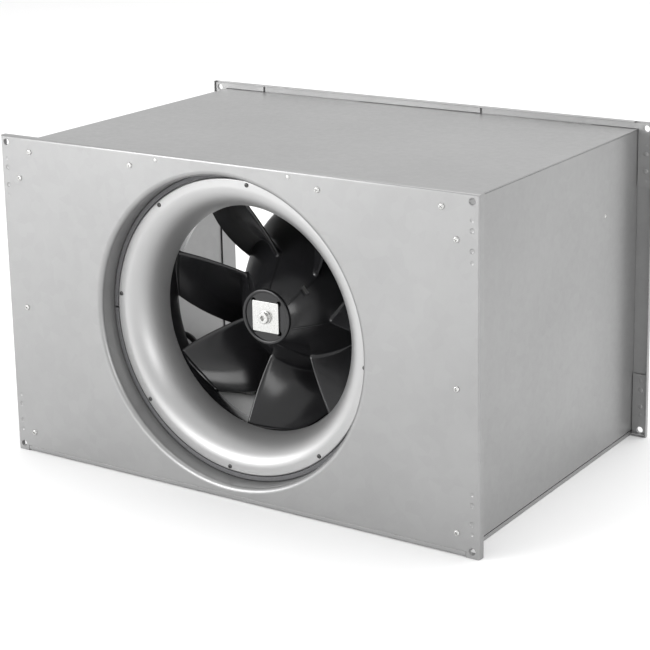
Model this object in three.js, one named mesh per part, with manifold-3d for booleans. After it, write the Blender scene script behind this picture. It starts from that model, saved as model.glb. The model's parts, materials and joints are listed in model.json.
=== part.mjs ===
// Inline duct fan: a galvanised sheet casing with rectangular duct flanges at both ends, a spun
// inlet nozzle and a mixed-flow impeller on an external-rotor motor, carried by rails on dampers.
// Millimetres, +X right, +Z up. Air enters at the front (-Y) and leaves at the rear (+Y).
// Origin: centre of the underside. Inside the model, y counts from the inlet face.
import * as THREE from "three";
import { mergeVertices } from "three/addons/utils/BufferGeometryUtils.js";
import Module from "manifold-3d";

const wasm = await Module();
wasm.setup();

// ---------------------------------------------------------------- driving dimensions
const duct = { width: 600, height: 350, flange: 20 };
const casing = { depth: 424, sheet: 1.5, topDrop: 9, gap: 0.3, screwFlange: 15, fold: 9, hem: 6 };
const sill = { halfLength: 303.6, height: 6.2, depth: 6, radius: 3 };
const rear = { lip: 6, inward: 29 };
const corner = { leg: 79, width: 17.6, thickness: 2, holeRadius: 4, holeSide: 8.8, holeEnd: 7.7 };
const stiffener = { halfLength: 89 };
const screw = { head: 3.4, headHeight: 1.8, shank: 2, length: 9, hole: 2.3 };
const opening = { wallRadius: 178.5, bend: 6, depth: 25 };
const seal = { inner: 172.8, outer: 177.9, front: 24.3, rear: 29.6, split: 2 };
const nozzle = { rim: 172, bell: 163, throat: 133, face: 24, end: 71, lip: 5.6 };
const nozzleScrew = { count: 8, circle: 167.5, firstAngle: 84, hole: 2.2 };
const carrier = { front: 30, halfWidth: 205, hole: 164, fold: 15 };
const hub = { nose: 79, noseWall: 6, wall: 3, web: 124, webBore: 7 };
const hubRim = { inner: 28.5, outer: 32.5, height: 2 };
const shroud = { wall: 3 };
const blade = { count: 7, thickness: 4.2, overlap: 0.025 };
const bladeAngles = { first: -110, lean: 6.7, hubWrap: 67, tipWrap: 26 };
const balance = { radius: 51.5, y: 98, degrees: 38, width: 3, length: 10, height: 7 };
const clamp = { side: 36, plate: 2, washer: 8, washerPlate: 1.2, bolt: 4, boltHead: 6.5, headHeight: 4 };
const boltEnd = 99.7;
const shaft = { radius: 6, front: 100, rear: 262 };
const motor = { rotor: 57, rotorWall: 4, front: 128, rotorRear: 214, stator: 50, tube: 16.7 };
const housing = { front: 220, flange: 66, flangeDepth: 6, body: 62, rear: 296, chamfer: 4 };
const fin = { radius: 68, count: 16, width: 3 };
const bearing = { outer: 12, width: 9, fits: { front: 142, rear: 250 } };
const plate = { halfWidth: 113, halfHeight: 88, thickness: 4, hole: 50 };
const damper = { x: 95, z: 70, radius: 12, length: 14 };
const rail = { halfWidth: 18, depth: 22, sheet: 2 };
const terminal = { y: [230, 350], z: [42, 132], depth: 38, wall: 3, lid: 7, lidBevel: 3 };
const terminalStrip = { y: [245, 335], z: [92, 110], depth: 18.7 };
const gland = { thread: 6, stem: 5, wall: 2, hexagon: 3.5, hexagonEnd: 6, cap: 2, capEnd: 11, end: 15 };
const grommet = { bore: 4.4, body: 7.7, flange: 11, lip: 1.8, length: 6.5, hole: 9 };
const cableEntry = { y: 290, z: 72, hole: 8 };
const cable = { radius: 4, steps: 60, sides: 8 };
const clip = { seat: 4.7, inner: 4.5, outer: 5.9, foot: 10, sheet: 1.2, halfLength: 5 };

// ---------------------------------------------------------------- derived values
const width = duct.width + 2 * duct.flange;
const height = duct.height + 2 * duct.flange;
const axisHeight = height / 2;
const sideX = duct.width / 2;
const endX = width / 2;
const topZ = height - casing.topDrop;
const t = casing.sheet;
const gap = casing.gap;
const insideZ = [t + gap, topZ - t - gap];
const behindFront = [t + gap, 2 * t + gap];
const panelRear = casing.depth - t - gap;
const rearPanelX = sideX - 2 * t - gap;
const plateFront = housing.rear + gap;
const damperFront = plateFront + plate.thickness + gap;
const railFront = damperFront + damper.length + gap;

// ---------------------------------------------------------------- finishes
const finishes = {
  galvanised: { color: 0xc4c6c8, roughness: 0.38, metalness: 0.9 },
  spunSteel: { color: 0xd2d4d6, roughness: 0.25, metalness: 0.95 },
  zincPlate: { color: 0xe2e3e2, roughness: 0.3, metalness: 0.9 },
  blackPlastic: { color: 0x141516, roughness: 0.3, metalness: 0 },
  castAluminium: { color: 0xa9abad, roughness: 0.5, metalness: 0.85 },
  blackSteel: { color: 0x2a2b2d, roughness: 0.45, metalness: 0.6 },
  bearingSteel: { color: 0xb8bbbe, roughness: 0.2, metalness: 1 },
  copper: { color: 0xa65f33, roughness: 0.4, metalness: 0.8 },
  rubber: { color: 0x1b1b1b, roughness: 0.85, metalness: 0 },
  seal: { color: 0x77797b, roughness: 0.9, metalness: 0 },
  greyPlastic: { color: 0x9a9d9f, roughness: 0.5, metalness: 0 },
};

// ---------------------------------------------------------------- booleans
// Triangles that collapse to a line, as on the axis of a turned piece, are left out.
function toSolid(geometry) {
  const bare = geometry.index ? geometry.toNonIndexed() : geometry.clone();
  bare.deleteAttribute("normal");
  bare.deleteAttribute("uv");
  const merged = mergeVertices(bare, 1e-4);
  const corners = Array.from(merged.index.array);
  const triVerts = [];
  for (let i = 0; i < corners.length; i += 3) {
    const [a, b, c] = corners.slice(i, i + 3);
    if (a !== b && b !== c && c !== a) triVerts.push(a, b, c);
  }
  const vertProperties = new Float32Array(merged.attributes.position.array);
  const mesh = new wasm.Mesh({ numProp: 3, vertProperties, triVerts: new Uint32Array(triVerts) });
  return new wasm.Manifold(mesh);
}

function toGeometry(solid) {
  const mesh = solid.getMesh();
  const geometry = new THREE.BufferGeometry();
  geometry.setAttribute("position", new THREE.BufferAttribute(mesh.vertProperties, 3));
  geometry.setIndex(new THREE.BufferAttribute(mesh.triVerts, 1));
  geometry.computeVertexNormals();
  return geometry;
}

function join(...pieces) {
  return toGeometry(pieces.map(toSolid).reduce((whole, piece) => whole.add(piece)));
}

function cut(body, ...tools) {
  return toGeometry(tools.map(toSolid).reduce((rest, tool) => rest.subtract(tool), toSolid(body)));
}

// ---------------------------------------------------------------- shapes
const roundSegments = 36;

function block([x0, x1], [y0, y1], [z0, z1]) {
  const geometry = new THREE.BoxGeometry(x1 - x0, y1 - y0, z1 - z0);
  return geometry.translate((x0 + x1) / 2, (y0 + y1) / 2, (z0 + z1) / 2);
}

// A cylinder along Y, from y0 to y1.
function rod(radius, [y0, y1], x = 0, z = 0, sides = 24) {
  const geometry = new THREE.CylinderGeometry(radius, radius, y1 - y0, sides);
  return geometry.translate(x, (y0 + y1) / 2, z);
}

// A piece turned round the Y axis, from its outline of [radius, y] points. An outline that
// doesn't start and end on the axis is closed here, and every outline is put in the order that
// makes the faces point out.
function turned(outline, segments = roundSegments) {
  const area = outline.reduce((sum, [r, y], i) => {
    const [nextR, nextY] = outline[(i + 1) % outline.length];
    return sum + r * nextY - nextR * y;
  }, 0);
  const ordered = area > 0 ? outline : [...outline].reverse();
  const closed = ordered[0][0] === 0 ? ordered : [...ordered, ordered[0]];
  return new THREE.LatheGeometry(closed.map(([r, y]) => new THREE.Vector2(r, y)), segments);
}

function ring(inner, outer, [y0, y1], segments = roundSegments) {
  return turned([[inner, y0], [outer, y0], [outer, y1], [inner, y1]], segments);
}

// Points on an arc or a quarter ellipse with its centre at [a, b].
function arc([a, b], radiusA, radiusB, fromDegrees, toDegrees, steps) {
  return Array.from({ length: steps + 1 }, (_, i) => {
    const angle = THREE.MathUtils.degToRad(fromDegrees + ((toDegrees - fromDegrees) * i) / steps);
    return [a + radiusA * Math.cos(angle), b + radiusB * Math.sin(angle)];
  });
}

// An outline of [x, y] points raised along Z.
function prism(points, [z0, z1]) {
  const shape = new THREE.Shape(points.map(([a, b]) => new THREE.Vector2(a, b)));
  const geometry = new THREE.ExtrudeGeometry(shape, { depth: z1 - z0, bevelEnabled: false });
  return geometry.translate(0, 0, z0);
}

// Turns a piece so that its X, Y and Z lie along Y, Z and X.
function alongX(geometry) {
  const [x, y, z] = [new THREE.Vector3(1, 0, 0), new THREE.Vector3(0, 1, 0), new THREE.Vector3(0, 0, 1)];
  return geometry.applyMatrix4(new THREE.Matrix4().makeBasis(y, z, x));
}

function roundedRectangle(halfWidth, halfHeight, radius) {
  const corners = [[1, 1, 0], [-1, 1, 90], [-1, -1, 180], [1, -1, 270]];
  return corners.flatMap(([a, b, start]) => {
    const centre = [a * (halfWidth - radius), b * (halfHeight - radius)];
    return arc(centre, radius, radius, start, start + 90, 4);
  });
}

// ---------------------------------------------------------------- assembly
const model = new THREE.Group();
const rotor = new THREE.Group();
rotor.position.z = axisHeight;
model.position.y = -casing.depth / 2;
model.add(rotor);

function place(name, geometry, finish, group = model) {
  const mesh = new THREE.Mesh(geometry, new THREE.MeshStandardMaterial(finishes[finish]));
  mesh.name = name;
  group.add(mesh);
  return mesh;
}

const sides = { left: -1, right: 1 };
const mirrored = (sign, near, far) => (sign > 0 ? [near, far] : [-far, -near]);
const onAxis = (geometry) => geometry.translate(0, 0, axisHeight);

// ---------------------------------------------------------------- holes
const frontScrews = [
  { x: 276, z: axisHeight + 178.5 },
  { x: 126, z: axisHeight + 178.5 },
  { x: 293, z: axisHeight + 146 },
  { x: 293, z: axisHeight - 12 },
  { x: 293, z: axisHeight - 170 },
].flatMap(({ x, z }) => [{ x: -x, z }, { x, z }]);

function screwHoles() {
  return frontScrews.map(({ x, z }) => rod(screw.hole, [-1, 2 * t + gap + 1], x, z, 10));
}

// The bolt holes at the four corners of a flange, through a piece that starts at y0.
function cornerHoles(y0) {
  const x = endX - corner.holeSide;
  const heights = [corner.holeEnd, height - corner.holeEnd];
  const through = [y0 - 1, y0 + corner.thickness + 1];
  return heights.flatMap((z) => [-x, x].map((side) => rod(corner.holeRadius, through, side, z, 16)));
}

function nozzleHoles() {
  const { count, circle, firstAngle, hole } = nozzleScrew;
  return Array.from({ length: count }, (_, i) => {
    const angle = THREE.MathUtils.degToRad(firstAngle + (360 / count) * i);
    const [x, z] = [circle * Math.cos(angle), axisHeight + circle * Math.sin(angle)];
    return rod(hole, [nozzle.face - 1, carrier.front + t + 1], x, z, 10);
  });
}

// The hole that the motor cable passes on its way into the terminal box, in a wall between x[0]
// and x[1].
function entryHole(radius, x) {
  return rod(radius, x).rotateZ(-Math.PI / 2).translate(0, cableEntry.y, cableEntry.z);
}

// ---------------------------------------------------------------- front panel and sill
// The sheet bends inwards round the opening and runs back as a short cylindrical collar.
function openingCollar() {
  const { wallRadius, bend, depth } = opening;
  const centre = [wallRadius + bend, bend];
  const visible = arc(centre, bend, bend, 270, 180, 3);
  const hidden = arc(centre, bend - t, bend - t, 180, 270, 3);
  const edge = wallRadius + bend + 4;
  const end = [[wallRadius, depth], [wallRadius + t, depth]];
  return onAxis(turned([[edge, 0], ...visible, ...end, ...hidden, [edge, t]]));
}

function frontPanel() {
  const sheet = join(
    block([-endX, endX], [0, t], [0, height]),
    block([-endX, -endX + t], [0, casing.fold], [0, height]),
    block([endX - t, endX], [0, casing.fold], [0, height]),
    block([-endX, endX], [0, casing.fold], [height - t, height]),
  );
  const mouth = onAxis(rod(opening.wallRadius + opening.bend + 2, [-1, t + 1], 0, 0, roundSegments));
  const slotX = sill.halfLength + 0.4;
  const slot = block([-slotX, slotX], [-1, t + 1], [-1, sill.height + gap]);
  return join(cut(sheet, mouth, slot, ...screwHoles(), ...cornerHoles(0)), openingCollar());
}

// A rolled hem under the front panel's lower edge.
function frontSill() {
  const { halfLength, height: top, depth, radius } = sill;
  const roll = arc([radius, radius], radius, radius, 180, 270, 4);
  const outline = [[0, top], ...roll, [depth, 0], [depth, t], [t, t], [t, top]];
  return alongX(prism(outline, [-halfLength, halfLength]));
}

place("front_panel", frontPanel(), "galvanised");
place("front_sill", frontSill(), "galvanised");

// ---------------------------------------------------------------- casing sheets
function topPanel() {
  const flangeX = sideX - casing.screwFlange - 1;
  const flangeZ = [topZ - casing.screwFlange, topZ];
  const sideFlangeX = [sideX - 2 * t - 2 * gap, sideX - t - gap];
  const sideFlange = (sign) => block(mirrored(sign, ...sideFlangeX), [8, panelRear - 1], flangeZ);
  const sheet = block([-sideX, sideX], [t + gap, panelRear], [topZ - t, topZ]);
  const front = block([-flangeX, flangeX], behindFront, flangeZ);
  const reliefRadius = opening.wallRadius + opening.bend - gap;
  const collarRelief = onAxis(rod(reliefRadius, [-1, opening.depth], 0, 0, roundSegments));
  return cut(join(sheet, front, sideFlange(-1), sideFlange(1)), collarRelief, ...screwHoles());
}

function sidePanel(sign) {
  const z = [sill.height - 0.5, topZ - t - gap];
  const flangeX = mirrored(sign, sideX - casing.screwFlange, sideX);
  const wall = join(
    block(mirrored(sign, sideX - t, sideX), [t + gap, panelRear], z),
    block(flangeX, behindFront, z),
    block(flangeX, [t + gap, panelRear], [z[0], z[0] + t]),
  );
  return cut(wall, ...screwHoles(), entryHole(grommet.hole, [-sideX - 1, -sideX + 3]));
}

function basePan() {
  const y = [sill.depth + 0.5, casing.depth - rear.lip - gap];
  const hem = (sign) => block(mirrored(sign, sideX - casing.hem, sideX), y, [0, sill.height - t]);
  const frontX = sideX - casing.screwFlange - 5;
  const front = block([-frontX, frontX], [y[0], y[0] + t], [0, casing.screwFlange]);
  return join(block([-sideX, sideX], y, [0, t]), hem(-1), hem(1), front);
}

place("top_panel", topPanel(), "galvanised");
place("left_panel", sidePanel(-1), "galvanised");
place("right_panel", sidePanel(1), "galvanised");
place("base_pan", basePan(), "galvanised");

// ---------------------------------------------------------------- rear flange
const stripY = [casing.depth - t, casing.depth];
const lipY = [casing.depth - rear.lip, casing.depth];
const inwardY = [casing.depth - rear.inward, casing.depth];

function rearUpright(sign) {
  const strip = block(mirrored(sign, rearPanelX, endX), stripY, [0, height]);
  const lip = block(mirrored(sign, endX - t, endX), lipY, [0, height]);
  const inwardZ = [duct.flange + 2, topZ - casing.screwFlange - 1];
  const inward = block(mirrored(sign, rearPanelX, rearPanelX + t), inwardY, inwardZ);
  return cut(join(strip, lip, inward), ...cornerHoles(stripY[0]));
}

function rearCrossRail(edge) {
  const x = [-rearPanelX + gap, rearPanelX - gap];
  const z = (near, far) => (edge === "top" ? [height - far, height - near] : [near, far]);
  const strip = block(x, stripY, z(0, duct.flange));
  const lip = block(x, lipY, z(0, t));
  const inward = block(x, inwardY, z(duct.flange - t, duct.flange));
  return join(strip, lip, inward);
}

for (const [side, sign] of Object.entries(sides))
  place(`rear_flange_${side}`, rearUpright(sign), "galvanised");
for (const edge of ["top", "bottom"]) place(`rear_flange_${edge}`, rearCrossRail(edge), "galvanised");

// ---------------------------------------------------------------- corner plates and stiffeners
// Flat plates that join the flange strips. y0 is a plate's front face, and outward is the way
// from the plate to the end of the casing: -1 at the inlet, 1 at the outlet.
const plateX = endX - t - gap;
const aboveTop = [topZ + gap, height - t - gap];

function cornerPlate(sign, edge, y0, outward) {
  const y = [y0, y0 + corner.thickness];
  const footY = outward > 0 ? [y0 - 4, y0 + t] : [y0 + gap, y0 + 6];
  const legX = mirrored(sign, plateX - corner.width, plateX);
  const leg = edge === "top" ? [height - corner.leg, aboveTop[1]] : [t + gap, corner.leg];
  const foot =
    edge === "top"
      ? block(mirrored(sign, plateX - corner.leg, plateX), y, aboveTop)
      : block(legX, footY, [t + gap, 2 * t + gap]);
  return cut(join(block(legX, y, leg), foot), ...cornerHoles(y0));
}

const ends = {
  front: { y0: t + gap, outward: -1 },
  rear: { y0: casing.depth - t - gap - corner.thickness, outward: 1 },
};
for (const [end, { y0, outward }] of Object.entries(ends)) {
  for (const [side, sign] of Object.entries(sides))
    for (const edge of ["top", "bottom"])
      place(`${end}_corner_${edge}_${side}`, cornerPlate(sign, edge, y0, outward), "galvanised");
  const bar = block([-stiffener.halfLength, stiffener.halfLength], [y0, y0 + corner.thickness], aboveTop);
  place(`${end}_stiffener`, bar, "galvanised");
}

// ---------------------------------------------------------------- front screws
function panScrew({ x, z }) {
  const { head, headHeight, shank, length } = screw;
  const under = -0.1;
  const top = under - headHeight;
  const crown = [[0, top], [head * 0.65, top], [head, top / 2], [head, under]];
  return turned([...crown, [shank, under], [shank, length], [0, length]], 12).translate(x, 0, z);
}

frontScrews.forEach((spot, i) => place(`front_screw_${i + 1}`, panScrew(spot), "zincPlate"));

// ---------------------------------------------------------------- inlet nozzle
// The bell is a quarter ellipse from the flat rim to the throat, offset towards the casing.
function bell(offset, steps) {
  const across = nozzle.bell - nozzle.throat - offset;
  const along = nozzle.end - nozzle.face - offset;
  return arc([nozzle.bell, nozzle.end], across, along, 270, 180, steps);
}

function inletNozzle() {
  const { rim, face, lip } = nozzle;
  const lipEnd = [[rim - t, face + t], [rim - t, face + lip], [rim, face + lip]];
  const outline = [[rim, face], ...bell(0, 7), ...bell(t, 7).reverse(), ...lipEnd];
  return cut(onAxis(turned(outline)), ...nozzleHoles());
}

// The strip that closes the groove between the collar and the nozzle, with its ends at the left.
function openingSeal() {
  const strip = ring(seal.inner, seal.outer, [seal.front, seal.rear]);
  const acrossStrip = [-seal.outer - 2, -seal.inner + 2];
  const split = block(acrossStrip, [seal.front - 1, seal.rear + 1], [-seal.split / 2, seal.split / 2]);
  return onAxis(cut(strip, split));
}

// The folded plate behind the collar that the nozzle is screwed to.
function nozzleCarrier() {
  const { front, halfWidth, hole, fold } = carrier;
  const x = [-halfWidth, halfWidth];
  const face = block(x, [front, front + t], insideZ);
  const low = block(x, [front, front + fold], [insideZ[0], insideZ[0] + t]);
  const high = block(x, [front, front + fold], [insideZ[1] - t, insideZ[1]]);
  const mouth = onAxis(rod(hole, [front - 1, front + t + 1], 0, 0, roundSegments));
  return cut(join(face, low, high), mouth, ...nozzleHoles());
}

place("inlet_nozzle", inletNozzle(), "spunSteel");
place("opening_seal", openingSeal(), "seal");
place("nozzle_carrier", nozzleCarrier(), "galvanised");

// ---------------------------------------------------------------- impeller
// Meridian curves of [radius, y]: the outside of the hub and the inside of the shroud.
function meridian(points) {
  return new THREE.SplineCurve(points.map(([r, y]) => new THREE.Vector2(r, y)));
}

const hubCurve = meridian([[32.5, 81], [43, 93], [66, 122], [92, 164], [111, 200], [122, 236]]);
const shroudCurve = meridian([[138, 66], [138, 78], [140.5, 92], [142.5, 100]]);
const rootSpan = [0.37, 0.75];
const tipSpan = [0.38, 0.88];
const impellerSegments = 28;
const boltBore = clamp.bolt + 0.4;

function offsetMeridian(curve, distance, steps) {
  return Array.from({ length: steps + 1 }, (_, i) => {
    const point = curve.getPoint(i / steps);
    const along = curve.getTangent(i / steps);
    return [point.x + distance * along.y, point.y - distance * along.x];
  });
}

// A cone with a flat nose, a raised rim round the nose, and a web inside that sits on the motor.
function hubShell() {
  const { nose, noseWall, wall, web, webBore } = hub;
  const outside = offsetMeridian(hubCurve, 0, 7);
  const inside = offsetMeridian(hubCurve, -wall, 7);
  const webRear = motor.front - gap;
  const behindWeb = inside.filter(([, y]) => y > webRear + 2).reverse();
  const beforeWeb = inside.filter(([, y]) => y > nose + noseWall + 1 && y < web - 2).reverse();
  const rimTop = nose - hubRim.height;
  const rim = [[hubRim.inner, nose], [hubRim.inner, rimTop], [hubRim.outer, rimTop]];
  const nearer = (y) => (best, point) => (Math.abs(point[1] - y) < Math.abs(best[1] - y) ? point : best);
  const wallAt = (y) => inside.reduce(nearer(y))[0];
  const webBack = [[wallAt(webRear) - 1, webRear], [webBore, webRear]];
  const webFront = [[webBore, web], [wallAt(web) - wall, web]];
  const inner = [...behindWeb, ...webBack, ...webFront, ...beforeWeb, [boltBore, nose + noseWall]];
  return turned([[boltBore, nose], ...rim, ...outside, ...inner], impellerSegments);
}

// The short ring round the blade tips, from one distance outside the shroud curve to another.
function shroudRing(near, far) {
  const inside = offsetMeridian(shroudCurve, near, 3);
  const outside = offsetMeridian(shroudCurve, far, 3).reverse();
  return turned([...inside, ...outside], impellerSegments);
}

// A point of the blade's middle surface: s runs from the leading to the trailing edge, and v from
// the hub to the shroud. The blade winds anticlockwise, seen from the inlet, as it goes back, and
// its leading edge leans forwards to the tip.
function camber(firstDegrees, s, v) {
  const { lerp, degToRad } = THREE.MathUtils;
  const root = hubCurve.getPoint(lerp(...rootSpan, s));
  const tip = shroudCurve.getPoint(lerp(...tipSpan, s));
  const radius = lerp(root.x, tip.x, v);
  const { lean, hubWrap, tipWrap } = bladeAngles;
  const angle = degToRad(firstDegrees + lean * v + lerp(hubWrap, tipWrap, v) * s);
  return new THREE.Vector3(radius * Math.cos(angle), lerp(root.y, tip.y, v), radius * Math.sin(angle));
}

// Rounded at the leading edge and thinner towards the trailing edge.
function halfThickness(s) {
  const nose = Math.sqrt(Math.min(1, 0.12 + 9 * s));
  return (blade.thickness / 2) * (1 - 0.45 * s) * nose;
}

function bladeSolid(firstDegrees) {
  const [chordSteps, spanSteps, step] = [5, 3, 1e-3];
  const positions = [];
  for (const side of [1, -1])
    for (let i = 0; i <= chordSteps; i++)
      for (let j = 0; j <= spanSteps; j++) {
        const s = (i / chordSteps) ** 1.4;
        const v = -blade.overlap + (j / spanSteps) * (1 + 2 * blade.overlap);
        const point = camber(firstDegrees, s, v);
        const alongChord = camber(firstDegrees, s + step, v).sub(camber(firstDegrees, s - step, v));
        const alongSpan = camber(firstDegrees, s, v + step).sub(camber(firstDegrees, s, v - step));
        const normal = alongChord.cross(alongSpan).normalize();
        positions.push(...point.addScaledVector(normal, side * halfThickness(s)).toArray());
      }
  const row = spanSteps + 1;
  const sheet = row * (chordSteps + 1);
  const index = [];
  const quad = (a, b, c, d) => index.push(a, b, c, a, c, d);
  for (let i = 0; i < chordSteps; i++)
    for (let j = 0; j < spanSteps; j++) {
      const a = i * row + j;
      quad(a, a + row, a + row + 1, a + 1);
      quad(sheet + a, sheet + a + 1, sheet + a + row + 1, sheet + a + row);
    }
  for (let j = 0; j < spanSteps; j++) {
    const last = chordSteps * row + j;
    quad(j, j + 1, sheet + j + 1, sheet + j);
    quad(last + 1, last, sheet + last, sheet + last + 1);
  }
  for (let i = 0; i < chordSteps; i++) {
    const [a, top] = [i * row, i * row + spanSteps];
    quad(a + row, a, sheet + a, sheet + a + row);
    quad(top, top + row, sheet + top + row, sheet + top);
  }
  const geometry = new THREE.BufferGeometry();
  geometry.setAttribute("position", new THREE.Float32BufferAttribute(positions, 3));
  geometry.setIndex(index);
  return geometry;
}

const bladePitch = 360 / blade.count;
const bladeAngle = (i) => bladeAngles.first + bladePitch * i;
const blades = Array.from({ length: blade.count }, (_, i) => bladeSolid(bladeAngle(i)));
const tipRoom = shroudRing(-gap, 2 * shroud.wall);
place("impeller", cut(join(hubShell(), ...blades), tipRoom), "blackPlastic", rotor);
place("impeller_ring", shroudRing(0, shroud.wall), "blackPlastic", rotor);

// ---------------------------------------------------------------- impeller fixing
const clampRear = hub.nose - gap;
const washerRear = clampRear - clamp.plate - gap;
const washerY = [washerRear - clamp.washerPlate, washerRear];
const boltHeadY = [washerY[0] - clamp.headHeight, washerY[0] + 0.2];

function clampPlate() {
  const half = clamp.side / 2;
  const sheet = block([-half, half], [clampRear - clamp.plate, clampRear], [-half, half]);
  return cut(sheet, rod(boltBore, [clampRear - clamp.plate - 1, clampRear + 1]));
}

// A bolt with its washer held on it.
function hubBolt() {
  const head = rod(clamp.boltHead, boltHeadY, 0, 0, 6);
  return join(head, rod(clamp.washer, washerY), rod(clamp.bolt, [washerY[0], boltEnd]));
}

// A spring clip on the flank of the hub, added when the impeller is balanced.
function balanceClip() {
  const { radius, y, degrees, width: thick, length, height: tall } = balance;
  const holder = new THREE.Group();
  holder.rotation.y = -THREE.MathUtils.degToRad(degrees);
  const slope = hubCurve.getTangent(0.3);
  const solid = new THREE.BoxGeometry(thick, tall, length);
  const weight = place("balance_clip", solid, "zincPlate", holder);
  weight.position.set(radius, y, 0);
  weight.rotation.z = -Math.atan2(slope.x, slope.y);
  return holder;
}

place("clamp_plate", clampPlate(), "zincPlate", rotor);
place("hub_bolt", hubBolt(), "zincPlate", rotor);
rotor.add(balanceClip());

// ---------------------------------------------------------------- motor
function rotorCan() {
  const { rotor: outer, rotorWall, front, rotorRear } = motor;
  const bore = shaft.radius + gap;
  const frontRear = front + rotorWall;
  const inner = outer - rotorWall;
  const cup = [[outer, front], [outer, rotorRear], [inner, rotorRear], [inner, frontRear]];
  return turned([[bore, front], ...cup, [bore, frontRear]], impellerSegments);
}

// Bearing tube, mounting flange and finned electronics housing in one casting.
function motorHousing() {
  const { front, flange, flangeDepth, body, rear: end, chamfer } = housing;
  const bore = bearing.outer + gap;
  const boreEnd = shaft.rear + 8;
  const tubeFront = motor.front + 12;
  const inside = [[0, boreEnd], [bore, boreEnd], [bore, tubeFront]];
  const tube = [...inside, [motor.tube, tubeFront], [motor.tube, front]];
  const rim = [[flange, front], [flange, front + flangeDepth], [body, front + flangeDepth]];
  const barrel = [[body, end - chamfer], [body - chamfer, end], [0, end]];
  const finY = [front + flangeDepth - 2, end - 6];
  const fins = Array.from({ length: fin.count }, (_, i) => {
    const rib = block([body - 3, fin.radius], finY, [-fin.width / 2, fin.width / 2]);
    return rib.rotateY(((i + 0.5) / fin.count) * 2 * Math.PI);
  });
  return join(turned([...tube, ...rim, ...barrel]), ...fins);
}

place("rotor_can", rotorCan(), "blackSteel", rotor);
place("motor_shaft", rod(shaft.radius, [shaft.front, shaft.rear]), "bearingSteel", rotor);
place("motor_housing", onAxis(motorHousing()), "castAluminium");
const statorY = [motor.front + 14, housing.front - 16];
place("stator_pack", onAxis(ring(motor.tube + 1, motor.stator, statorY, impellerSegments)), "copper");
for (const [end, y] of Object.entries(bearing.fits)) {
  const race = ring(shaft.radius + gap, bearing.outer, [y, y + bearing.width], 24);
  place(`${end}_bearing`, onAxis(race), "bearingSteel");
}

// ---------------------------------------------------------------- motor support
function motorPlate() {
  const outline = roundedRectangle(plate.halfWidth, plate.halfHeight, 10);
  const sheet = prism(outline, [0, plate.thickness]).rotateX(Math.PI / 2);
  sheet.translate(0, plateFront + plate.thickness, 0);
  return cut(sheet, rod(plate.hole, [plateFront - 1, damperFront], 0, 0, 32));
}

function rubberDamper() {
  return rod(damper.radius, [0, damper.length], 0, 0, 20);
}

// A channel that stands on the base pan and reaches the top panel, with its web to the front.
function motorRail() {
  const { halfWidth: w, depth, sheet } = rail;
  const [front, back] = [railFront, railFront + depth];
  const web = [[w - sheet, back], [w - sheet, front + sheet], [sheet - w, front + sheet], [sheet - w, back]];
  return prism([[-w, back], [-w, front], [w, front], [w, back], ...web], insideZ);
}

place("motor_plate", onAxis(motorPlate()), "galvanised");
for (const [side, sign] of Object.entries(sides)) {
  place(`motor_rail_${side}`, motorRail(), "galvanised").position.x = sign * damper.x;
  for (const [level, up] of [["lower", -1], ["upper", 1]]) {
    const pad = place(`damper_${level}_${side}`, rubberDamper(), "rubber");
    pad.position.set(sign * damper.x, damperFront, axisHeight + up * damper.z);
  }
}

// ---------------------------------------------------------------- terminal box
const boxX = [-sideX - gap - terminal.depth, -sideX - gap];
const supply = { x: (boxX[0] + boxX[1]) / 2 - 2, y: (terminal.y[0] + terminal.y[1]) / 2 };

function terminalBox() {
  const { y, z, wall } = terminal;
  const hollow = block([boxX[0] - 1, boxX[1] - wall], [y[0] + wall, y[1] - wall], [z[0] + wall, z[1] - wall]);
  const entry = entryHole(cableEntry.hole, [boxX[1] - 9, boxX[1] + 1]);
  const outlet = rod(gland.thread + 0.4, [-9, 9]).rotateX(Math.PI / 2).translate(supply.x, supply.y, z[0]);
  return cut(block(boxX, y, z), hollow, entry, outlet);
}

function terminalLid() {
  const { y, z, lid, lidBevel: bevel } = terminal;
  const x = [boxX[0] - gap - lid, boxX[0] - gap];
  const far = [[x[0] + bevel, y[1]], [x[0], y[1] - bevel]];
  const near = [[x[0], y[0] + bevel], [x[0] + bevel, y[0]]];
  return prism([[x[1], y[0]], [x[1], y[1]], ...far, ...near], z);
}

// A cable gland along +Y: its thread, its hexagon and its domed cap. It sits against a wall at y = 0.
function cableGland() {
  const { thread, stem, wall, hexagon, hexagonEnd, cap, capEnd, end } = gland;
  const capFront = hexagonEnd - 1;
  const dome = [[thread + cap, capFront], [thread + cap, capEnd], [thread - 1, end]];
  return join(
    ring(thread - wall, thread, [-stem, gap + 0.2], 16),
    rod(thread + hexagon, [gap, hexagonEnd], 0, 0, 6),
    turned([[0, capFront], ...dome, [0, end]], 16),
  );
}

function wallGrommet() {
  const { bore, body, flange, lip, length } = grommet;
  const outline = [[bore, 0], [flange, 0], [flange, lip], [body, lip], [body, length], [bore, length]];
  return turned(outline, 20).rotateZ(Math.PI / 2);
}

place("terminal_box", terminalBox(), "greyPlastic");
place("terminal_lid", terminalLid(), "greyPlastic");
const stripRear = boxX[1] - terminal.wall - gap;
const strip = block([stripRear - terminalStrip.depth, stripRear], terminalStrip.y, terminalStrip.z);
place("terminal_block", strip, "greyPlastic");
const supplyGland = place("supply_gland", cableGland(), "greyPlastic");
supplyGland.rotation.x = -Math.PI / 2;
supplyGland.position.set(supply.x, supply.y, terminal.z[0]);
const grommetX = -sideX + t + gap + grommet.lip;
place("wall_grommet", wallGrommet(), "rubber").position.set(grommetX, cableEntry.y, cableEntry.z);

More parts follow.
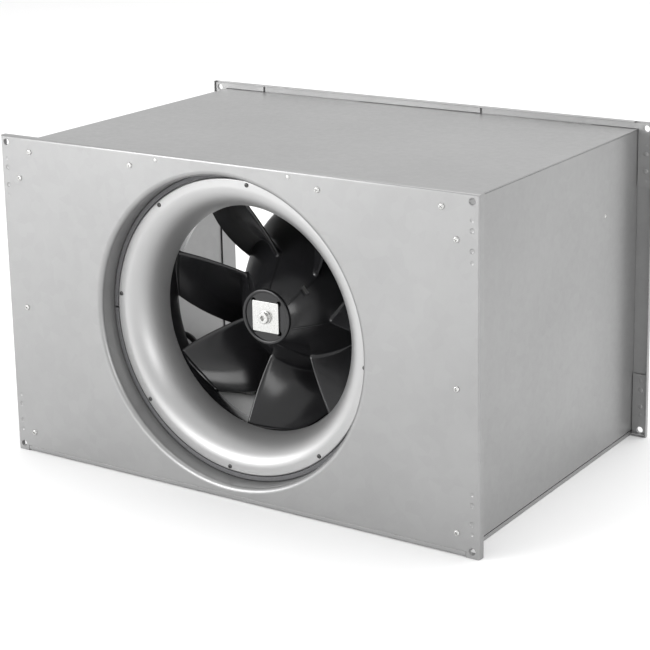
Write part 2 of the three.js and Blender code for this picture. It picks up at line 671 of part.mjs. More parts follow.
// ---------------------------------------------------------------- motor cable
// From the gland on the housing, down beside the left rail, along the base pan and up to the
// terminal box's entry.
const cableRoute = [
  [-59.8, 262, 135.2], [-66, 263.5, 129.2], [-82, 275, 113], [-100, 293, 97.5], [-113, 304, 87],
  [-119.4, 315, 76], [-118.6, 323, 66], [-118, 326, 54], [-118, 326, 42], [-121, 325, 26],
  [-131, 322.5, 13], [-148, 318, 7], [-175, 311, 6.5], [-205, 303, 6.5], [-226, 297, 6.9],
  [-243, 293, 11.5], [-254, 291, 23], [-258, 290.3, 39], [-263, 290, 56], [-274, 290, 68],
  [-288, 290, 72], [-302, 290, 72], [-316, 290, 72],
];

function motorCable() {
  const curve = new THREE.CatmullRomCurve3(cableRoute.map((point) => new THREE.Vector3(...point)));
  const round = arc([0, 0], cable.radius, cable.radius, 0, 360 - 360 / cable.sides, cable.sides - 1);
  const section = new THREE.Shape(round.map(([a, b]) => new THREE.Vector2(a, b)));
  return new THREE.ExtrudeGeometry(section, { steps: cable.steps, extrudePath: curve });
}

// A saddle that holds the cable down, its feet on y = 0 and its opening along Z.
function cableClip() {
  const { seat, inner, outer, foot, sheet, halfLength } = clip;
  const over = arc([0, seat], outer, outer, 0, 180, 8);
  const under = arc([0, seat], inner, inner, 180, 0, 8);
  const left = [[-outer, sheet], [-foot, sheet], [-foot, 0], [-inner, 0]];
  const right = [[inner, 0], [foot, 0], [foot, sheet], [outer, sheet]];
  return prism([...over, ...left, ...under, ...right], [-halfLength, halfLength]);
}

place("motor_cable", motorCable(), "rubber");

const motorGland = place("motor_gland", cableGland(), "blackPlastic");
const downLeft = new THREE.Vector3(-1, 0, -1).normalize();
motorGland.quaternion.setFromUnitVectors(new THREE.Vector3(0, 1, 0), downLeft);
motorGland.position.set(0, cableRoute[0][1], axisHeight).addScaledVector(downLeft, fin.radius + gap);

const railClip = place("cable_clip_rail", cableClip(), "zincPlate");
railClip.rotation.z = Math.PI / 2;
railClip.position.set(-damper.x - rail.halfWidth - gap, 326, 48);

const baseClip = place("cable_clip_base", cableClip(), "zincPlate");
baseClip.rotation.set(Math.PI / 2, 0, THREE.MathUtils.degToRad(-75), "ZYX");
baseClip.position.set(-190, 307, t + gap);

export default new THREE.Group().add(model);
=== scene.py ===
"""The looks of the inline duct fan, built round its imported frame. Metres, +Z up, air along +Y.

Shapes are worked out in millimetres from one datum: the point of the fan's axis in the inlet face,
so x is to the right, y is the depth behind the inlet face and z is the height above the axis.
A shape is a pair of lists: its vertices, and its faces as lists of vertex numbers.
The sizes repeat those of the CAD, so the looks fill the same places.
"""

import json
import math
from types import SimpleNamespace as Sizes

import bmesh
import bpy
from mathutils import Matrix, Vector
from mathutils.geometry import delaunay_2d_cdt


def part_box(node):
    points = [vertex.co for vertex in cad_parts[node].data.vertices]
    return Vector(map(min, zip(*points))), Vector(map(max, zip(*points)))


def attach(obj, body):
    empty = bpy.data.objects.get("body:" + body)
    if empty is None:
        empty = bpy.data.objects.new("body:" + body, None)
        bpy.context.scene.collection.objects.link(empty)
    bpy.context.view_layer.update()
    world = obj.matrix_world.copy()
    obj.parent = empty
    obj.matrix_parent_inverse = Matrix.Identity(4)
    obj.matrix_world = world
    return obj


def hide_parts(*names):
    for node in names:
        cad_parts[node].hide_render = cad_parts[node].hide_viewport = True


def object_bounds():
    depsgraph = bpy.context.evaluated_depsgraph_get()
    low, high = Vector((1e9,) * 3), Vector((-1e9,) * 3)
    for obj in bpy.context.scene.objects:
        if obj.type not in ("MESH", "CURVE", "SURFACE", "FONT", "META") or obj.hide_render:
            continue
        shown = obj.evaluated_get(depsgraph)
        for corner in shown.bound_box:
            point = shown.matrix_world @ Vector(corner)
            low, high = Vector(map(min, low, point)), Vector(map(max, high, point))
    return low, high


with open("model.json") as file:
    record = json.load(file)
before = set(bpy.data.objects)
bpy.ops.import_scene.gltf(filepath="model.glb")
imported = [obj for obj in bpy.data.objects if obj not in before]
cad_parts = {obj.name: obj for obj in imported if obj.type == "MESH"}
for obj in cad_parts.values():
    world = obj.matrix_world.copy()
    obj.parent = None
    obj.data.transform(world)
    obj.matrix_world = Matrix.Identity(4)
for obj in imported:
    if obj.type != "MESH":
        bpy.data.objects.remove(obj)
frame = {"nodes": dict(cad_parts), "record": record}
cad_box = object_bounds()

MM = 0.001
AXIS_Z = sum(corner.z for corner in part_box("inlet_nozzle")) / 2
DATUM = Vector((0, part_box("front_panel")[0].y, AXIS_Z))

# ------------ sizes in millimetres
SHEET = 1.5
ROUND = 192
FLANGE = Sizes(half_width=320, half_height=195, fold=9, bend=2.6)
SILL_NOTCH = Sizes(half_width=304, height=6.5)
BOLT_HOLE = Sizes(x=311.2, z=187.3, radius=4)
OPENING = Sizes(radius=178.5, bend=6, depth=25)
SEAL = Sizes(inner=172.8, outer=177.9, front=24.3, rear=29.6, gap_degrees=0.7)
NOZZLE = Sizes(rim=172, bell=163, throat=133, face=24, end=71, lip=5.6, fold=1.8)
NOZZLE_SCREWS = Sizes(count=8, circle=167.5, first=84)
FRONT_SCREWS = [(276, 178.5), (126, 178.5), (293, 146), (293, -12), (293, -170)]
RIVETS = [(89, 188.3)]
RIVET_HEAD = Sizes(radius=2.4, height=1.1)
SIDE_DOT = Sizes(place=(300, 335, 99), radius=2.2, height=0.7)
# The clinch points in each corner, all at one x: the height, the radius and the depth.
CLINCH_X = 311
CLINCHES = [(157, 3.0, 0.9), (136, 3.0, 0.9), (168, 2.2, 0.4), (124, 2.2, 0.4)]
# Domed screw heads: the radius, the height, and the shank's radius and length.
PAN_HEADS = {
    "front": (3.4, 1.8, 2, 3), "nozzle": (2.6, 1.2, 1.7, 3), "cover": (2.8, 1.6, 1.6, 3),
    "lid": (3.2, 1.5, 1.5, 1), "saddle": (1.7, 1.0, 1, 1),
}
# Hexagon heads: the distance across the flats, the height and the washer's radius.
HEX_HEADS = {"plate": (10, 4, 6), "damper": (13, 5.5, 9), "gland": (16.4, 4.5, 9.3)}

# Meridian curves of the impeller as (radius, y): the outside of its hub and the inside of the
# short ring round its blade tips.
HUB_CURVE = [(32.5, 81), (43, 93), (66, 122), (92, 164), (111, 200), (122, 236)]
RING_CURVE = [(138, 66), (138, 78), (140.5, 92), (142.5, 100)]
HUB = Sizes(nose=79, rim_top=77, rim_inner=28.5, wall=3, bore=4.4, nose_rear=85)
HUB_WEB = Sizes(front=124, rear=127.7, bore=7)
POCKET = Sizes(half=17.4, relief=3.2, floor=84)
BLADES = Sizes(count=7, thickness=4.2, thinning=0.45, overlap=1.8)
BLADE_ANGLES = Sizes(first=-110, lean=6.7, hub_wrap=67, tip_wrap=26)
BLADE_SPAN = Sizes(root=(0.37, 0.75), tip=(0.38, 0.88))
BLADE_NOSE = 0.045
FILLET = Sizes(root=4.5, tip=3.5, fade=0.06)
HUB_RIDGE = Sizes(radius=1.1, sweep=12, first_share=0.03)
CLAMP = Sizes(half=18, front=76.7, rear=78.7)
HUB_BOLT = Sizes(radius=4, head=6.5, top=71.2, socket=6, end=99.7)
BOLT_WASHER = Sizes(radius=8, front=75.2)
BALANCE = Sizes(radius=51.5, y=98, degrees=38, share=0.3)
CLIP_GRIP = Sizes(half=(1.6, 5), front=-3.6, rear=3)
CLIP_LIP = Sizes(half=(0.6, 5.4), front=-5, rear=-2.6, x=1.2)
MOULD_MARK = Sizes(radius=56, y=109.5, degrees=-84, share=0.32)

ROTOR_CAN = Sizes(outer=57, inner=53, bore=6.3, front=128, floor=132, rear=214)
ROTOR_GROOVE = Sizes(ahead=9, width=3, depth=0.8, slope=0.5)
SHAFT = Sizes(radius=6, front=100, rear=262)
BEARING = Sizes(bore=6.3, inner_land=7.7, outer_land=10.5, outer=12, recess=0.5)
STATOR = Sizes(radius=50, crown=12, coils=12, circle=35, gap=0.5)
COIL = Sizes(half=(12, 6), corner=5, depth=11, edge=3)
HOUSING = Sizes(front=220, flange=66, flange_depth=6, body=62, slope=4, rear=296)
BEARING_TUBE = Sizes(radius=16.7, bore=12.3, front=140, end=270)
FINS = Sizes(count=16, radius=68, width=3, front=225, rear=290, overlap=3)
COVER = Sizes(radius=44, height=3.6, seat=1, gap=1.2, rim=6, screws=4, circle=40.6)
PLATE_SCREWS = Sizes(count=6, circle=56, y=300.3)
DAMPER = Sizes(x=95, z=70, radius=12, length=14, front=300.6, disc=1.3, waist=2.6)
DAMPER_NUTS = Sizes(plate_front=296.3, web_rear=316.9)
MOTOR_GLAND = Sizes(out=68.3, y=262)
SUPPLY_GLAND = (-321.3, 290, -153)
# The ribbed cap of a gland at stations along it: the station, the radius and the ribs' depth.
GLAND_CAP = [(-5, 8, 0.4), (-10.6, 8, 0.4), (-12, 7.6, 0.2), (-13.6, 6.7, 0.05), (-15, 5.2, 0)]
GLAND_RIBS = 16
GLAND_PLUG = Sizes(neck=3.4, radius=4, front=-15.6, shoulder=-15, rear=-13)
GROMMET_PLACE = (-296.4, 290, -123)
GROMMET = Sizes(bore=4.4, flange=11, neck=7.7, lip=1.8, depth=6.5)
LID = Sizes(place=(-345.6, 290, -108), half=(60, 45), corner=5, depth=7, edge=1.6)
LID_WELLS = Sizes(inset=9, radius=4.6, depth=2.2)
SADDLE = Sizes(rise=4.7, outer=5.9, inner=4.5, foot=10, sheet=1.2, half=5, screw=8)
RAIL_CLIP = Sizes(place=(-113.3, 326, -147), degrees=90)
BASE_CLIP = Sizes(place=(-190, 307, -193.2), degrees=-75)
# The motor cable from its gland, down the left rail, along the base pan to the terminal box.
CABLE_ROUTE = [
    (-59.8, 262, 135.2), (-66, 263.5, 129.2), (-82, 275, 113), (-100, 293, 97.5), (-113, 304, 87),
    (-119.4, 315, 76), (-118.6, 323, 66), (-118, 326, 54), (-118, 326, 42), (-121, 325, 26),
    (-131, 322.5, 13), (-148, 318, 7), (-175, 311, 6.5), (-205, 303, 6.5), (-226, 297, 6.9),
    (-243, 293, 11.5), (-254, 291, 23), (-258, 290.3, 39), (-263, 290, 56), (-274, 290, 68),
    (-288, 290, 72), (-302, 290, 72), (-316, 290, 72),
]
CABLE_RADIUS = 4
AXIS_HEIGHT = 195


def box_mm(node):
    """A CAD node's lowest and highest corners, in millimetres from the datum."""
    return [(corner - DATUM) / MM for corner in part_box(node)]


# ------------ outlines
def arc(centre, radius_a, radius_b, start, end, steps):
    """Points of an arc or a part of an ellipse, from start to end in degrees."""
    points = []
    for i in range(steps + 1):
        angle = math.radians(start + (end - start) * i / steps)
        x, z = radius_a * math.cos(angle), radius_b * math.sin(angle)
        points.append((centre[0] + x, centre[1] + z))
    return points


def lerp(low, high, share):
    return low + (high - low) * share


def circle(centre, radius, steps):
    return arc(centre, radius, radius, 0, 360, steps)[:-1]


def rectangle(half_width, half_height):
    low, high = (-half_width, -half_height), (half_width, half_height)
    return [low, (high[0], low[1]), high, (low[0], high[1])]


def rounded(outline, radius, steps=4):
    """The closed outline with its corners turned into arcs, but for those that lie on x = 0."""
    points = []
    for i, here in enumerate(outline):
        corner = Vector(here)
        before = Vector(outline[i - 1]) - corner
        after = Vector(outline[(i + 1) % len(outline)]) - corner
        half = before.angle(after) / 2
        if corner.x == 0 or not math.radians(3) < half < math.radians(84):
            points.append(tuple(corner))
            continue
        reach = min(radius / math.tan(half), 0.49 * before.length, 0.49 * after.length)
        start = corner + before.normalized() * reach
        end = corner + after.normalized() * reach
        bisector = (before.normalized() + after.normalized()).normalized()
        centre = corner + bisector * (reach / math.cos(half))
        swing = (start - centre).angle_signed(end - centre)
        for step in range(steps + 1):
            turn = Matrix.Rotation(-swing * step / steps, 2)
            points.append(tuple(centre + turn @ (start - centre)))
    return points


def hexagon(across_flats):
    reach = across_flats / math.sqrt(3)
    return arc((0, 0), reach, reach, 0, 300, 5)


def on_spline(points, share):
    """The point at a share, from 0 to 1, of the uniform Catmull-Rom curve through the points."""
    last = len(points) - 1
    i = min(int(share * last), last - 1)
    w = share * last - i
    a, b, c, d = (Vector(points[min(max(k, 0), last)]) for k in (i - 1, i, i + 1, i + 2))
    start, end = (c - a) / 2, (d - b) / 2
    cubic = 2 * b - 2 * c + start + end
    square = 3 * c - 3 * b - 2 * start - end
    return cubic * w**3 + square * w**2 + start * w + b


def beside_spline(points, distance, steps):
    """Points of a (radius, y) curve moved outwards by the distance."""
    made = []
    for i in range(steps + 1):
        share = i / steps
        along = on_spline(points, min(share + 0.002, 1)) - on_spline(points, max(share - 0.002, 0))
        along.normalize()
        made.append(tuple(on_spline(points, share) + distance * Vector((along.y, -along.x))))
    return made


# ------------ shapes
def joined(*shapes):
    vertices, faces = [], []
    for more_vertices, more_faces in shapes:
        shift = len(vertices)
        vertices += [tuple(vertex) for vertex in more_vertices]
        faces += [[shift + corner for corner in face] for face in more_faces]
    return vertices, faces


def transformed(shape, matrix):
    return [tuple(matrix @ Vector(vertex)) for vertex in shape[0]], shape[1]


def moved(shape, x=0, y=0, z=0):
    return transformed(shape, Matrix.Translation((x, y, z)))


def turned_by(shape, degrees, axis="Y"):
    return transformed(shape, Matrix.Rotation(math.radians(degrees), 4, axis))


def aimed(shape, place, direction):
    """A shape that points along -Y at the origin, put at a place and pointed another way."""
    spin = Vector((0, -1, 0)).rotation_difference(Vector(direction)).to_matrix().to_4x4()
    return transformed(shape, Matrix.Translation(place) @ spin)


def ringed(shape, count, radius, y, first=0):
    """Copies of a shape at even steps round the axis, each turned with its place."""
    start = moved(shape, x=radius, y=y)
    return joined(*(turned_by(start, -first - 360 / count * i) for i in range(count)))


def turned(outline, segments=ROUND, start=0, sweep=360):
    """A closed outline of (radius, y) points turned round the Y axis. A part turn has end faces."""
    whole = sweep == 360
    stations = segments if whole else segments + 1
    points = len(outline)
    vertices, faces, index = [], [], {}
    for i in range(stations):
        angle = math.radians(start + sweep * i / segments)
        for j, (r, y) in enumerate(outline):
            on_axis_again = r == 0 and i > 0
            index[i, j] = index[0, j] if on_axis_again else len(vertices)
            if not on_axis_again:
                vertices.append((r * math.cos(angle), y, r * math.sin(angle)))
    for i in range(segments):
        there = (i + 1) % stations
        for j in range(points):
            k = (j + 1) % points
            face = list(dict.fromkeys((index[i, j], index[i, k], index[there, k], index[there, j])))
            if len(face) > 2:
                faces.append(face)
    if not whole:
        faces += [[index[i, j] for j in range(points)] for i in (0, segments)]
    return vertices, faces


def skin(rows, count):
    """The faces between neighbouring closed rows that have this many vertices each."""
    faces = []
    for row in range(rows - 1):
        here, there = row * count, (row + 1) * count
        for j in range(count):
            k = (j + 1) % count
            faces.append([here + j, here + k, there + k, there + j])
    return faces


def lofted(levels):
    """Closed (outline, y) sections with the same number of points, joined into one solid."""
    count = len(levels[0][0])
    vertices = [(x, y, z) for outline, y in levels for x, z in outline]
    ends = [list(range(count)), list(range((len(levels) - 1) * count, len(levels) * count))]
    return vertices, ends + skin(len(levels), count)


def prism(outline, low, high):
    """A closed outline of (x, z) points as a solid from y = low to y = high."""
    return lofted([(outline, low), (outline, high)])


def pillow(outline, low, high, edge):
    """A prism whose two rims are rounded off, for moulded and forged pieces."""
    middle = sum((Vector(point) for point in outline), Vector((0, 0))) / len(outline)
    span = max((Vector(point) - middle).length for point in outline)
    levels = [(low, edge), (low + 0.3 * edge, 0.3 * edge), (low + edge, 0)]
    levels += [(high - edge, 0), (high - 0.3 * edge, 0.3 * edge), (high, edge)]
    sections = []
    for y, inset in levels:
        scale = 1 - inset / span
        section = [tuple(middle + (Vector(point) - middle) * scale) for point in outline]
        sections.append((section, y))
    return lofted(sections)


def tube(route, radius, sides=20, steps=8):
    """A round cable along a smooth curve through the route's points."""
    count = (len(route) - 1) * steps
    middles = [on_spline(route, i / count) for i in range(count + 1)]
    vertices = []
    across = Vector((0, 1, 0))
    for i, middle in enumerate(middles):
        along = (middles[min(i + 1, count)] - middles[max(i - 1, 0)]).normalized()
        across = (across - across.dot(along) * along).normalized()
        other = along.cross(across)
        for j in range(sides):
            angle = 2 * math.pi * j / sides
            vertices.append(middle + radius * (math.cos(angle) * across + math.sin(angle) * other))
    ends = [list(range(sides)), list(range(count * sides, (count + 1) * sides))]
    return vertices, skin(count + 1, sides) + ends


def plate(outline, holes, low, high):
    """A flat sheet across X and Z with holes in it, from y = low to y = high."""
    loops = [outline, *holes]
    flat, rims = [], []
    for loop in loops:
        rims.append(list(range(len(flat), len(flat) + len(loop))))
        flat += [Vector(point) for point in loop]
    points, _, triangles, _, _, owners = delaunay_2d_cdt(flat, [], rims, 1, 1e-5)
    kept = [face for face, owner in zip(triangles, owners) if owner == [0]]
    sides = {}
    for face in kept:
        for a, b in zip(face, face[1:] + face[:1]):
            sides[frozenset((a, b))] = None if frozenset((a, b)) in sides else (a, b)
    count = len(points)
    vertices = [(p.x, low, p.y) for p in points] + [(p.x, high, p.y) for p in points]
    faces = [list(face) for face in kept]
    faces += [[count + corner for corner in reversed(face)] for face in kept]
    faces += [[b, a, count + a, count + b] for a, b in filter(None, sides.values())]
    return vertices, faces


def closed_mesh(name, shape, scale=1.0):
    """A shape as a mesh whose faces all point out."""
    mesh = bpy.data.meshes.new(name)
    mesh.from_pydata([Vector(vertex) * scale for vertex in shape[0]], [], shape[1])
    tidy = bmesh.new()
    tidy.from_mesh(mesh)
    bmesh.ops.recalc_face_normals(tidy, faces=tidy.faces)
    tidy.to_mesh(mesh)
    tidy.free()
    return mesh


def new_object(name, data):
    made = bpy.data.objects.new(name, data)
    bpy.context.scene.collection.objects.link(made)
    return made


def combined(first, second, operation):
    """Two closed shapes as one: their UNION, their INTERSECT or their DIFFERENCE."""
    operands = [new_object("operand", closed_mesh("operand", shape)) for shape in (first, second)]
    change = operands[0].modifiers.new("boolean", "BOOLEAN")
    change.operation = operation
    change.solver = "MANIFOLD"
    change.object = operands[1]
    result = operands[0].evaluated_get(bpy.context.evaluated_depsgraph_get()).data
    made = [tuple(v.co) for v in result.vertices], [list(face.vertices) for face in result.polygons]
    for operand in operands:
        bpy.data.meshes.remove(operand.data)
    return made


# ------------ pieces
SLOTS = {part["node"]: part["material_slot"] for part in frame["record"]["subparts"]}
FINISHES = {}


def add_piece(name, shape, slot, stands_for=(), body="casing", finish=None, smooth_degrees=32):
    """A piece of the object, in the finish of its material slot unless another is named."""
    mesh = closed_mesh(name, shape, MM)
    mesh.shade_smooth()
    mesh.set_sharp_from_angle(angle=math.radians(smooth_degrees))
    mesh.materials.append(FINISHES[finish or slot])
    piece = new_object(name, mesh)
    piece.location = DATUM
    weighted = piece.modifiers.new("even shading", "WEIGHTED_NORMAL")
    weighted.keep_sharp = True
    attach(piece, body)
    if stands_for:
        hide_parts(*stands_for)
    return piece


# ------------ finishes
class Finish:
    """A material being made: its node tree and its Principled shader."""

    def __init__(self, name, **constants):
        self.material = bpy.data.materials.new(name)
        self.material.use_nodes = True
        self.tree = self.material.node_tree
        self.shader = self.tree.nodes["Principled BSDF"]
        for socket, value in constants.items():
            self.shader.inputs[socket.replace("_", " ")].default_value = value
        self.place = self.node("ShaderNodeTexCoord").outputs["Object"]
        FINISHES[name] = self.material

    def node(self, kind, inputs=None, **settings):
        made = self.tree.nodes.new(kind)
        for key, value in settings.items():
            setattr(made, key, value)
        for key, value in (inputs or {}).items():
            if isinstance(value, bpy.types.NodeSocket):
                self.tree.links.new(value, made.inputs[key])
            else:
                made.inputs[key].default_value = value
        return made

    def noise(self, scale, detail=2.0, stretch=(1, 1, 1)):
        """Noise of about that many cells to the metre, from 0 to 1."""
        mapped = self.node("ShaderNodeMapping", {"Vector": self.place, "Scale": stretch})
        vector = mapped.outputs["Vector"]
        made = self.node("ShaderNodeTexNoise", {"Vector": vector, "Scale": scale, "Detail": detail})
        return made.outputs["Fac"]

    def cells(self, scale):
        """A grey value for each cell of a pattern with about that many cells to the metre."""
        made = self.node("ShaderNodeTexVoronoi", {"Vector": self.place, "Scale": scale})
        split = self.node("ShaderNodeSeparateColor", {"Color": made.outputs["Color"]})
        return split.outputs["Red"]

    def between(self, factor, low, high, start=0.3, end=0.7):
        """The factor's values from start to end, spread from low to high."""
        limits = {"From Min": start, "From Max": end, "To Min": low, "To Max": high}
        made = self.node("ShaderNodeMapRange", {"Value": factor, **limits})
        return made.outputs["Result"]

    def mix(self, factor, low, high):
        """A grey or a colour between two, as the factor goes from 0 to 1."""
        ramp = self.node("ShaderNodeValToRGB", {"Fac": factor})
        for element, value in zip(ramp.color_ramp.elements, (low, high)):
            element.color = (*value, 1) if isinstance(value, tuple) else (value, value, value, 1)
        return ramp.outputs["Color"]

    def paint(self, socket, value):
        self.tree.links.new(value, self.shader.inputs[socket])

    def colour(self, factor, low, high):
        self.paint("Base Color", self.mix(factor, low, high))

    def roughness(self, factor, low, high):
        self.paint("Roughness", self.between(factor, low, high))

    def bump(self, *layers):
        """Relief from pairs of a height, from 0 to 1, and the millimetres that 1 stands for."""
        normal = None
        for height, millimetres in layers:
            inputs = {"Height": height, "Distance": millimetres * MM, "Strength": 1.0}
            if normal:
                inputs["Normal"] = normal
            normal = self.node("ShaderNodeBump", inputs).outputs["Normal"]
        self.paint("Normal", normal)


def make_galvanised():
    made = Finish("galvanised", Metallic=0.7)
    spangle = made.cells(75)
    cloud = made.noise(7, 3)
    shares = {0: made.between(spangle, 0.0, 0.35, 0, 1), 1: made.between(cloud, 0, 0.65)}
    tone = made.node("ShaderNodeMath", shares).outputs["Value"]
    made.colour(tone, 0.30, 0.335)
    made.roughness(made.noise(140, 4), 0.34, 0.42)
    made.bump((made.noise(1400, 2), 0.010), (made.noise(4.5, 1), 0.6))


def make_spun_steel():
    made = Finish("spun_steel", Metallic=0.75)
    made.colour(made.noise(9, 3), 0.43, 0.46)
    made.roughness(made.noise(12, 2), 0.40, 0.43)
    made.bump((made.noise(1600, 2), 0.002))


def make_cast_aluminium():
    made = Finish("cast_aluminium", Metallic=1.0)
    made.colour(made.noise(60, 5), (0.42, 0.425, 0.43), (0.52, 0.525, 0.53))
    made.roughness(made.noise(200, 4), 0.45, 0.6)
    made.bump((made.noise(700, 3), 0.06), (made.noise(40, 2), 0.15))


def make_stator_copper():
    made = Finish("stator_copper", Metallic=1.0)
    made.colour(made.noise(120, 4), (0.42, 0.20, 0.09), (0.62, 0.32, 0.16))
    made.roughness(made.noise(250, 3), 0.35, 0.5)
    made.bump((made.noise(500, 2, (1, 0.1, 1)), 0.3))


def make_seal_foam():
    made = Finish("seal_foam", Metallic=0.0)
    made.colour(made.noise(400, 4), (0.10, 0.10, 0.105), (0.17, 0.17, 0.175))
    made.roughness(made.noise(500, 3), 0.8, 0.95)
    made.bump((made.cells(1600), 0.15))


def make_plain(name, metallic, colour, roughness, relief=None):
    """A finish of even noises. Each starts with its scale and detail. The colour and the roughness
    go on with their low and high values, and the relief with its millimetres."""
    made = Finish(name, Metallic=metallic)
    scale, detail, low, high = colour
    made.colour(made.noise(scale, detail), low, high)
    scale, detail, low, high = roughness
    made.roughness(made.noise(scale, detail), low, high)
    if relief:
        scale, detail, height = relief
        made.bump((made.noise(scale, detail), height))


make_galvanised()
make_spun_steel()
make_cast_aluminium()
make_stator_copper()
make_seal_foam()
make_plain(
    "zinc_plate", 1.0, (300, 3, (0.53, 0.53, 0.52), (0.62, 0.62, 0.61)),
    (500, 3, 0.22, 0.36), (2500, 2, 0.01),
)
make_plain("dark_zinc", 1.0, (400, 3, 0.09, 0.13), (500, 3, 0.35, 0.5))
make_plain(
    "black_plastic", 0.0, (25, 4, (0.010, 0.010, 0.011), (0.014, 0.014, 0.015)),
    (30, 3, 0.17, 0.23), (1200, 2, 0.003),
)
make_plain("black_fitting", 0.0, (150, 3, 0.022, 0.035), (300, 3, 0.45, 0.6), (2200, 2, 0.02))
make_plain(
    "rotor_steel", 0.0, (80, 4, (0.018, 0.018, 0.02), (0.03, 0.03, 0.032)),
    (200, 3, 0.32, 0.45), (600, 2, 0.02),
)
make_plain(
    "bearing_steel", 1.0, (200, 3, (0.60, 0.61, 0.62), (0.68, 0.69, 0.70)), (300, 3, 0.14, 0.24),
)
make_plain("rubber", 0.0, (90, 4, 0.016, 0.028), (250, 3, 0.7, 0.9), (1500, 2, 0.03))
make_plain(
    "grey_plastic", 0.0, (50, 4, (0.36, 0.365, 0.37), (0.41, 0.415, 0.42)),
    (300, 3, 0.42, 0.56), (1800, 2, 0.03),
)
make_plain(
    "cable_sheath", 0.0, (120, 3, (0.016, 0.016, 0.017), (0.026, 0.026, 0.027)),
    (200, 3, 0.42, 0.58), (900, 2, 0.02),
)
make_plain("floor_paper", 0.0, (3, 2, 0.86, 0.88), (20, 2, 0.85, 0.95))


# ------------ camera and studio
CAMERA = Sizes(place=(1.187, -1.789, 0.813), yaw=-33.7, pitch=-14.1, roll=-1.1)
LENS_MM = 103.3
SHIFT_Y = -0.154
SKY_STRENGTH = 0.86
FLOOR_HALF = 12.0
FLOOR_GAP = 0.4


def add_camera():
    data = bpy.data.cameras.new("camera")
    data.lens = LENS_MM
    data.shift_y = SHIFT_Y
    data.dof.use_dof = False
    data.clip_end = 50
    camera = new_object("camera", data)
    heading = Matrix.Rotation(math.radians(-CAMERA.yaw), 4, "Z")
    tilt = Matrix.Rotation(math.radians(90 + CAMERA.pitch), 4, "X")
    roll = Matrix.Rotation(math.radians(CAMERA.roll), 4, "Z")
    camera.matrix_world = Matrix.Translation(CAMERA.place) @ heading @ tilt @ roll
    bpy.context.scene.camera = camera


def add_softbox(name, place, target, size, watts):
    data = bpy.data.lights.new(name, "AREA")
    data.shape = "RECTANGLE"
    data.size, data.size_y = size
    data.energy = watts
    light = new_object(name, data)
    light.location = place
    light.rotation_mode = "QUATERNION"
    light.rotation_quaternion = (Vector(target) - Vector(place)).to_track_quat("-Z", "Y")


def add_studio():
    world = bpy.data.worlds.new("studio")
    world.use_nodes = True
    background = world.node_tree.nodes["Background"]
    background.inputs["Color"].default_value = (1, 1, 1, 1)
    background.inputs["Strength"].default_value = SKY_STRENGTH
    bpy.context.scene.world = world
    bpy.context.scene.view_settings.view_transform = "Standard"
    middle = (0, 0, 0.2)
    add_softbox("key light", (-1.5, -2.3, 0.9), middle, (1.6, 1.2), 43)
    add_softbox("side light", (2.3, -1.5, 0.9), (0, -0.15, 0.2), (0.9, 1.2), 14)
    add_softbox("overhead light", (0.0, 1.2, 4.0), (0, 1.2, 0), (4.0, 4.0), 130)


def add_floor():
    """A floor just under the feet of the fan, for the shadow."""
    corners = [(x, y, 0) for x, y in rectangle(FLOOR_HALF, FLOOR_HALF)]
    mesh = bpy.data.meshes.new("floor")
    mesh.from_pydata(corners, [], [(0, 1, 2, 3)])
    mesh.materials.append(FINISHES["floor_paper"])
    floor = new_object("floor", mesh)
    floor.location.z = cad_box[0].z - FLOOR_GAP * MM


# ------------ sheet pieces from the frame
SHEET_EDGE = Sizes(width=0.35, sharp_degrees=35, flat_degrees=0.6, weld=0.005)


def soften(node):
    """Merges a CAD node's flat faces and rounds its edges, without changing the mesh itself."""
    weld = node.modifiers.new("weld", "WELD")
    weld.merge_threshold = SHEET_EDGE.weld * MM
    flat = node.modifiers.new("flat faces", "DECIMATE")
    flat.decimate_type = "DISSOLVE"
    flat.angle_limit = math.radians(SHEET_EDGE.flat_degrees)
    bevel = node.modifiers.new("edges", "BEVEL")
    bevel.width = SHEET_EDGE.width * MM
    bevel.segments = 2
    bevel.limit_method = "ANGLE"
    bevel.angle_limit = math.radians(SHEET_EDGE.sharp_degrees)
    bevel.harden_normals = True


def finish_frame_nodes():
    for name, node in frame["nodes"].items():
        node.data.materials.clear()
        node.data.materials.append(FINISHES[SLOTS[name]])
        soften(node)


# ------------ front panel
def folded_rim(bend):
    """The fold round the sides and the top of the front panel, open at the bottom."""
    outer = arc((bend, bend), bend, bend, 270, 180, 6)
    inner = arc((bend, bend), bend - SHEET, bend - SHEET, 180, 270, 4)
    profile = [*outer, (0, FLANGE.fold), (SHEET, FLANGE.fold), *inner]
    half, top = FLANGE.half_width, FLANGE.half_height
    vertices = []
    for d, y in profile:
        vertices += [(d - half, y, -top), (d - half, y, top - d)]
        vertices += [(half - d, y, top - d), (half - d, y, -top)]
    faces = []
    points = len(profile)
    for j in range(points):
        here, there = 4 * j, 4 * ((j + 1) % points)
        for a, b in ((0, 1), (1, 2), (2, 3)):
            faces.append([here + a, there + a, there + b, here + b])
    faces += [[4 * j + end for j in range(points)] for end in (0, 3)]
    return vertices, faces


def opening_collar():
    """The sheet bent inwards round the opening, and the short collar behind the bend."""
    radius, bend, depth = OPENING.radius, OPENING.bend, OPENING.depth
    centre = (radius + bend, bend)
    visible = arc(centre, bend, bend, 270, 180, 8)
    hidden = arc(centre, bend - SHEET, bend - SHEET, 180, 270, 6)
    return turned([*visible, (radius, depth), (radius + SHEET, depth), *hidden])


def mirror_pairs(spots):
    return [(sign * x, z) for x, z in spots for sign in (-1, 1)]


def four_corners(x, z):
    return mirror_pairs([(x, z), (x, -z)])


